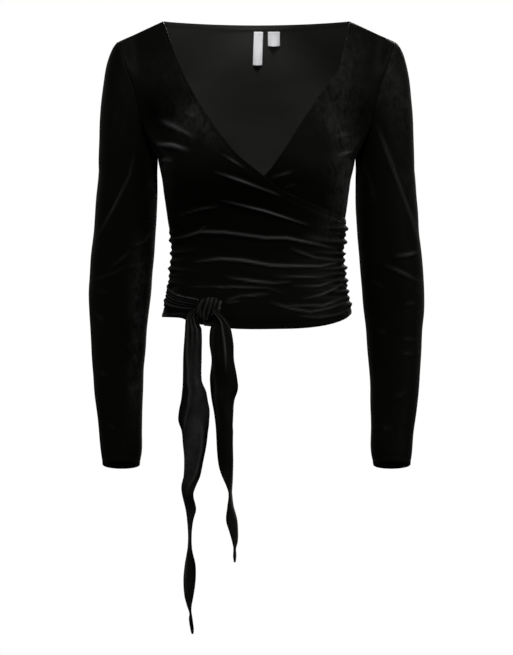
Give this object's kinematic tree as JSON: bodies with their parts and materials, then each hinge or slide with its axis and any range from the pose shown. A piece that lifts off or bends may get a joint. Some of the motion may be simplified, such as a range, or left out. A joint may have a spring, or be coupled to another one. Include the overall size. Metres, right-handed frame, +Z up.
{
  "type": "wrap top",
  "caption": "Cropped long-sleeved wrap top of stretch velvet, with a wide V neck, gathered sides and a tie knotted at one hip.",
  "frame": {"origin": "between the shoulders, level with the middle of the shoulder seams, midway between front and back", "axes": "+Z up towards the neck, -Y towards the front, +X towards the wearer's left"},
  "size_m": [0.4764, 0.2378, 0.8591],
  "materials": {
    "velvet": "black stretch velvet, short pile with a soft sheen along folds",
    "label": "white satin tape, bare"
  },
  "bodies": {
    "root": {"back": "velvet", "front_outer": "velvet", "front_under": "velvet", "sleeve_right": "velvet", "sleeve_left": "velvet", "tie_wrap": "velvet", "tie_knot": "velvet", "tie_tail_long": "velvet", "tie_tail_short": "velvet", "label_long": "label", "label_small": "label"}
  },
  "joints": []
}
